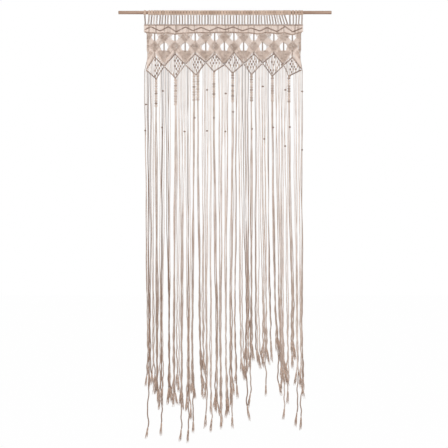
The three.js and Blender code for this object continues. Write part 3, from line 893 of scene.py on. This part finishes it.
def edge_knots():
    """The knots down both edges of the net, from the upper windows to the triangles."""
    for x in (NET_LEFT + EDGE_INSET, NET_RIGHT - EDGE_INSET):
        for z in np.arange(TRIANGLE_TOP + NET_KNOT[2], upper_windows.low_z, NET_KNOT[2]):
            yield x, NET_KNOT_Y, z


def make_net():
    upper, lower = DIAMOND_REACHES
    first_row = [Diamond(x, upper_windows.z, upper) for x in (NET_LEFT, *cross_xs, NET_RIGHT)]
    second_row = [Diamond(x, lower_windows.z + DIAMOND_LIFT, lower) for x in top_xs]
    paths, lower_paths = [], []
    for above, below in [*zip(first_row, second_row), *zip(first_row[1:], second_row)]:
        paths += ridge_paths(above, below)
        paths += strip_paths(above, below)
    for below, cross_x in [*zip(second_row, corner_xs), *zip(second_row, corner_xs[1:])]:
        lower_paths += triangle_paths(below, cross_x)

    tubes = Tubes()
    back_tones = np.zeros(CORD_COUNT)
    for middle in top_xs + cross_xs:
        back_tones[pair_over(middle)] = PAIR_TONE
    back_tones[[0, -1]] = EDGE_TONE
    tubes.add(smooth(net_cord_paths(), 56), CORD_RADIUS, back_tones)
    tubes.add(smooth(paths, 14), CORD_RADIUS, STRIP_TONES)
    tubes.add(smooth(lower_paths, 14), CORD_RADIUS, LOWER_TONES)
    net = tubes.build("net_cords", cord_cotton)
    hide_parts("net")

    middles = [
        (x, NET_KNOT_Y, z)
        for diamond in [*first_row[1:-1], *second_row, first_row[0], first_row[-1]]
        for x, z in diamond.knots()
        if is_inside_net(x) and z < second_line(x) - KNOT_ROOMS[0]
    ]
    return net, make_square_knots("net_knots", [*middles, *triangle_knots(), *edge_knots()])


# ---- Lattice ----

LATTICE_ROWS = 5  # above and below the middle one
LATTICE_PITCH = 0.0125  # from one row of knots to the next
LATTICE_PAIR = np.array([-0.0015, 0.0015])  # where a knot draws two cords, beside its middle
LATTICE_KNOT = (0.0090, 0.0062, 0.0070)
LATTICE_ROOM = 0.0085  # the least, from a knot to the ridges
LATTICE_CORD = (0.0018, CORD_RADIUS)
CORD_PLAY = 0.0008
KNOT_PLAY = 0.0012
KEPT_KNOTS = 0.8
# Lattice knot tones are mostly below -1: painted shade on the knots.
LATTICE_TONES = (-3.0, -0.4)
LATTICE_CORD_TONES = (-1.4, 1.8)
PLAIN_SHARES = (0.5, 0.45, 0.4, 0.0, 0.15, 0.0, 0.1, 0.3)  # on the left of each rhombus


def make_lattices():
    cords = Tubes()
    middles = []
    for (left, right), plain_share in zip(rhombi, PLAIN_SHARES):
        xs = cord_xs[(cord_xs > left) & (cord_xs < right)]
        xs = xs[upper_line(xs) - lower_line(xs) > LATTICE_ROOM]
        high, low = upper_line(xs), lower_line(xs)
        middle_z = (high.max() + low.min()) / 2
        plain_x = left + plain_share * (right - left)
        stations = [points_at(xs, CLOTH_Y, high)]
        for row in range(LATTICE_ROWS, -LATTICE_ROWS - 1, -1):
            z = middle_z + row * LATTICE_PITCH
            row_xs = xs + either_way(CORD_PLAY, len(xs))
            for first in range(row % 2, len(xs) - 1, 2):
                pair = slice(first, first + 2)
                knot_x = xs[pair].mean() + either_way(KNOT_PLAY)
                room = min(upper_line(knot_x) - z, z - lower_line(knot_x))
                is_kept = random.random() < KEPT_KNOTS
                if room > LATTICE_ROOM and knot_x > plain_x and is_kept:
                    row_xs[pair] = knot_x + LATTICE_PAIR
                    middles.append((knot_x, CLOTH_Y, z + either_way(KNOT_PLAY)))
            row_xs = np.where((z > high) | (z < low), xs, row_xs)
            stations.append(points_at(row_xs, CLOTH_Y, np.clip(z, low, high)))
        stations.append(points_at(xs, CLOTH_Y, low))
        paths = np.stack(stations, axis=1)
        cords.add(smooth(paths, 40), LATTICE_CORD, LATTICE_CORD_TONES)
    lattice = cords.build("lattice_cords", cord_cotton)
    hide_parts(*names_like("lattice_"))
    return lattice, make_square_knots("lattice_knots", middles, LATTICE_KNOT, LATTICE_TONES)


# ---- Fringe ----

LEVEL_STEP = 0.0015  # vertices nearer than this in height share a level
FREE_BELOW = 0.006  # under the lowest ridge, where every cord hangs free
SINGLE_CORD_WIDTH = 0.0042
CROWDED_DEPTH = 0.0020  # how far cords step apart in depth where they crowd
PAIR_PULL = 0.2  # how far neighbours draw together, as a share of their spacing
FRINGE_RINGS = 108
FRAY_LENGTH = 0.072
END_SHARES = (0.6, 1.8)  # of that length, from the tuft's level up to a cord's end
LOOSENED = 1.0  # how much a cord has swollen at its end
SWAYS = ((0.62, 0.0015), (0.27, 0.0007))  # wave length, and half height, of a hanging cord
KINKS = ((0.13, 0.0018), (0.058, 0.0014))  # of the waves near its end
STRAY_SHARES = np.array([1.0, 0.4])  # sideways and in depth


class Bunch:
    """The cords that hang in one fringe or sinnet node, with the node's sections below the
    ridges, as rows of z, x, y, width and depth."""

    def __init__(self, name):
        points = np.array([vertex.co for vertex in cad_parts[name].data.vertices])
        free_z = min(lower_line.z) - FREE_BELOW
        width = np.ptp(points[points[:, 2] > free_z, 0])
        self.is_sinnet = name.startswith("sinnet_")
        self.count = round((width - 2 * CORD_RADIUS) / PITCH) + 1
        if self.is_sinnet:
            self.count = SINNET_CORDS
        self.top_z = points[:, 2].max()
        below = points[points[:, 2] < min(free_z, self.top_z - LEVEL_STEP)]
        below = below[np.argsort(-below[:, 2])]
        breaks = np.nonzero(np.diff(below[:, 2]) < -LEVEL_STEP)[0] + 1
        self.levels = np.array([self.level(group) for group in np.split(below, breaks)])
        self.has_tail = np.all(self.levels[-2:, 3] < SINGLE_CORD_WIDTH)
        tuft = len(self.levels) - (3 if self.has_tail else 1)
        self.tuft_z = self.levels[tuft, 0]
        self.gathered_x = self.levels[tuft - 2, 1]

    def level(self, group):
        low, high = group.min(axis=0), group.max(axis=0)
        x, y, z = (low + high) / 2
        width, depth, _ = high - low
        return z, x, y, width, depth


bunches = [Bunch(name) for name in names_like("fringe_") + names_like("sinnet_")]
bunches.sort(key=lambda bunch: bunch.gathered_x)
assert sum(bunch.count for bunch in bunches) == CORD_COUNT


def place_at(path, z):
    """Where a hanging path is at a height, as x and y."""
    return [np.interp(-z, -path[:, 2], path[:, axis]) for axis in range(2)]


def stray(z, top_z, end_z):
    """How far a cord strays sideways and in depth: slow sways, and kinks near its end."""
    growth = np.clip((top_z - z) / (top_z - end_z), 0, 1)
    waves = np.zeros((len(z), 2))
    for sizes, weight in ((SWAYS, np.minimum(growth * 8, 1)), (KINKS, growth ** 4)):
        for length, size in sizes:
            for axis in range(2):
                phase = random.uniform(0, 2 * np.pi)
                stretch = random.uniform(0.8, 1.25)
                turn = 2 * np.pi * z / (length * stretch) + phase
                waves[:, axis] += size * np.sin(turn) * weight
    return waves * STRAY_SHARES


def cord_in_bunch(bunch, number, place):
    """One hanging cord's path, from the lower ridge to where it frays."""
    cord_x = cord_xs[number]
    ridge_z = lower_line(cord_x)
    share = place / (bunch.count - 1) - 0.5
    layer = 1 if place % 2 else -1
    pull = PAIR_PULL * (-1) ** number
    places = [(cord_x, ridge_z + 0.004)]
    levels = bunch.levels
    if bunch.is_sinnet:
        chain_z, chain_x = levels[0, :2]
        reach = share * 2 * CORD_RADIUS
        places.append((chain_x + 2 * reach, bunch.top_z))
        places += [(chain_x + reach, z) for z in ((bunch.top_z + chain_z) / 2, chain_z)]
        levels = levels[2:]
        pull = 0.0
    else:
        places.append((cord_x, ridge_z - 0.02))
    stations = [(x, CLOTH_Y, z) for x, z in places]
    if bunch.has_tail and place == bunch.count // 2:
        end_z = levels[-1, 0] + END_SHARES[0] * FRAY_LENGTH
    else:
        end_z = bunch.tuft_z + FRAY_LENGTH * random.uniform(*END_SHARES)
    for z, x, y, width, depth in levels:
        room = width - 2 * CORD_RADIUS
        spacing = room / (bunch.count - 1)
        crowding = max(0.0, 1 - spacing / (2 * CORD_RADIUS))
        behind = max(depth / 2 - CORD_RADIUS, CROWDED_DEPTH * crowding)
        stations.append((x + share * room + pull * spacing, y + layer * behind, z))
    path = smooth([stations], 400)[0]
    rows = np.linspace(0, 1, FRINGE_RINGS)
    zs = ridge_z + (end_z - ridge_z) * (1 - (1 - rows) ** 1.25)
    xs, ys = place_at(path, zs)
    waves = stray(zs, ridge_z, end_z)
    return points_at(xs + waves[:, 0], ys + waves[:, 1], zs)


STRANDS = 28
STRAND_RADII = np.array([0.0006, 0.0008, 0.0008, 0.0007, 0.0006, 0.0005, 0.0002])
STRAND_START = 0.0009  # from the cord's middle
STRAND_CURL = 0.0016
TUFT_RISE = 0.004  # how far the strands start inside their cord
TUFT_REACH = 0.0062
TUFT_SHARES = np.array([1.0, 0.55])  # sideways and in depth


def fray(cord):
    """The loose strands below a cord's end: (strands, rings, 3)."""
    end = cord[-1]
    fall = unit(end - cord[-4])
    length = FRAY_LENGTH * random.uniform(0.75, 1.05)
    share = np.linspace(0, 1, len(STRAND_RADII))[:, None]
    paths = np.empty((STRANDS, len(STRAND_RADII), 3))
    for strand in range(STRANDS):
        turn = random.uniform(0, 2 * np.pi)
        reach = TUFT_REACH * math.sqrt(random.uniform(0.05, 1))
        curl = either_way(1, 2) * STRAND_CURL
        drop = length * random.uniform(0.65, 1)
        out = np.array([math.cos(turn), math.sin(turn)])
        lateral = out * (STRAND_START + reach * share ** 0.8) + curl * np.sin(2 * np.pi * share)
        lateral = (lateral + fall[:2] * drop * share) * TUFT_SHARES
        paths[strand, :, :2] = end[:2] + lateral
        paths[strand, :, 2:] = end[2] + TUFT_RISE - (drop + TUFT_RISE) * share
    return paths


# Painted deep shade, on thin cords with white on both sides and on the overhand knots.
PAINTED_SHADE_TONE = -3.0  # of thin cords with white on both sides
PAINTED_SHADE_SHARE = 0.27  # the share of the hanging cords that are in shade
FRINGE_TONES = (-0.2, 2.2)
# Tones below -1 paint shade on some of the chains' cords and knots.
CHAIN_CORD_TONES = (-1.6, 1.4)
CHAIN_TONES = (-2.4, 3.6)
CHAIN_PITCH = 0.0120
CHAIN_KNOT = (0.0150, 0.0078, CHAIN_PITCH * 0.50)


def fringe_tones():
    is_painted_shade = random.random(CORD_COUNT) < PAINTED_SHADE_SHARE
    is_painted_shade[[0, 1, -2, -1]] = False
    tone = np.where(is_painted_shade, PAINTED_SHADE_TONE, random.uniform(*FRINGE_TONES, CORD_COUNT))
    in_chain = np.concatenate([np.full(bunch.count, bunch.is_sinnet) for bunch in bunches])
    tone[in_chain] = random.uniform(*CHAIN_CORD_TONES, sum(in_chain))
    tone[[0, -1]] = EDGE_TONE
    return tone


def make_chains():
    """The square knots of the sinnets, one under another."""
    middles = []
    for bunch in filter(lambda bunch: bunch.is_sinnet, bunches):
        chain_z, chain_x = bunch.levels[0, :2]
        knots = round((bunch.top_z - chain_z) / CHAIN_PITCH)
        for knot in range(knots):
            z = bunch.top_z + (chain_z - bunch.top_z) * (knot + 0.5) / knots
            middles.append((chain_x, CLOTH_Y, z))
    chains = make_square_knots("sinnet_chains", middles, CHAIN_KNOT, CHAIN_TONES)
    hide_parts(*names_like("sinnet_"))
    return chains


def make_fringe():
    cords = []
    for bunch in bunches:
        for place in range(bunch.count):
            cords.append(cord_in_bunch(bunch, len(cords), place))
    cords = np.array(cords)
    radii = CORD_RADIUS * (1 + LOOSENED * np.linspace(0, 1, FRINGE_RINGS) ** 2)
    radii[-1] *= 0.5
    tones = fringe_tones()
    half = CORD_COUNT // 2
    halves = []
    for name, part in (("fringe_left", slice(half)), ("fringe_right", slice(half, None))):
        tubes = Tubes().add(cords[part], radii[:, None], tones[part])
        halves.append(tubes.build(name, cord_cotton))
    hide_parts(*names_like("fringe_"))
    strands = np.concatenate([fray(cord) for cord in cords])
    tufts = Tubes().add(strands, STRAND_RADII[:, None], sides=3)
    frayed = tufts.build("fringe_tufts", frayed_cotton)
    return cords, [*halves, frayed, make_chains()]


# Overhand knots in single cords of the fringe, as x and z.
OVERHAND_KNOTS = (
    (-0.293, -0.369), (-0.372, -0.432), (-0.375, -0.554), (-0.295, -0.540), (-0.192, -0.559),
    (-0.139, -0.495), (-0.084, -0.364), (-0.086, -0.556), (-0.051, -0.495), (0.003, -0.381),
    (0.003, -0.559), (0.043, -0.467), (0.177, -0.348), (0.131, -0.547), (0.181, -0.594),
    (0.225, -0.540), (0.280, -0.364), (0.307, -0.538), (0.366, -0.371), (0.284, -0.627),
    (0.368, -0.645),
)
OVERHAND_RING = (0.0026, 0.0011)  # of the knot's big turn, and of the small turns on it
OVERHAND_RISE = 0.0021
OVERHAND_CORD = 0.0016


def make_overhand_knots(cords):
    turn = np.linspace(0, 2 * np.pi, 34)
    big, small = OVERHAND_RING
    reach = big + small * np.cos(3 * turn)
    rise = OVERHAND_RISE * np.sin(3 * turn)
    knot = points_at(reach * np.cos(2 * turn), reach * np.sin(2 * turn), rise)
    paths = []
    for x, z in OVERHAND_KNOTS:
        nearest = min((place_at(cord, z) for cord in cords), key=lambda place: abs(place[0] - x))
        paths.append(knot + (*nearest, z))
    # The overhand knots get the painted deep shade tone.
    tubes = Tubes().add(paths, OVERHAND_CORD, [PAINTED_SHADE_TONE] * len(paths))
    return tubes.build("overhand_knots", knot_cotton)


finish_rod()
heading = make_heading()
ridges = make_ridges()
band = make_band()
net, net_knots = make_net()
lattice = make_lattices()
fringe_cords, fringe = make_fringe()
overhand_knots = make_overhand_knots(fringe_cords)

# ---- Stage ----

FLOOR_Z = -2.1
FLOOR_REACH = 12.0
FLOOR_WHITENESS = 0.985  # the rest of the floor's look is its own shading
WORLD_LIGHT = 0.55
# Each lamp's name, place, aim, size and power.
LAMPS = (
    ("key", (-1.8, -3.6, 0.9), (0, 0, -0.9), 2.2, 78),
    ("fill", (2.6, -3.2, -0.6), (0, 0, -1.1), 2.6, 32),
)


def make_floor():
    mesh = bpy.data.meshes.new("floor")
    corners = [
        (x * FLOOR_REACH, y * FLOOR_REACH, FLOOR_Z) for x, y in ((-1, -1), (1, -1), (1, 1), (-1, 1))
    ]
    mesh.from_pydata(corners, [], [(0, 1, 2, 3)])
    add_object("floor", mesh)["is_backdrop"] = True
    material, shader, surface = new_material("floor")
    surface["Base Color"].default_value = colour(0.96, 0.96, 0.96)
    surface["Roughness"].default_value = 0.9
    white = shader.add("Emission", {"Strength": 1})[0]
    share = shader.math("MULTIPLY", shader.seen_directly(), FLOOR_WHITENESS)
    shaded = shader.nodes["Principled BSDF"].outputs[0]
    blend = shader.add("MixShader", {0: share, 1: shaded, 2: white})[0]
    shader.put(blend, shader.nodes["Material Output"].inputs["Surface"])
    mesh.materials.append(material)


def make_world():
    world = bpy.data.worlds.new("studio")
    bpy.context.scene.world = world
    shader = Shader(world)
    background = shader.nodes["Background"].inputs
    background["Color"].default_value = (1, 1, 1, 1)
    strength = shader.spread(shader.seen_directly(), 0.0, 1.0, WORLD_LIGHT, 1.0)
    shader.put(strength, background["Strength"])


def add_lamp(name, place, aim, size, power):
    data = bpy.data.lights.new(name, "AREA")
    data.size = size
    data.energy = power
    lamp = add_object(name, data)
    lamp.location = place
    lamp.rotation_euler = (Vector(aim) - Vector(place)).to_track_quat("-Z", "Y").to_euler()


make_floor()
make_world()
for lamp in LAMPS:
    add_lamp(*lamp)
bpy.context.scene.view_settings.view_transform = "Standard"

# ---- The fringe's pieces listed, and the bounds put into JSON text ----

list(fringe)

for corner in (*cad_box, *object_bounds()):
    json.dumps([round(value, 4) for value in corner]) + "\n"
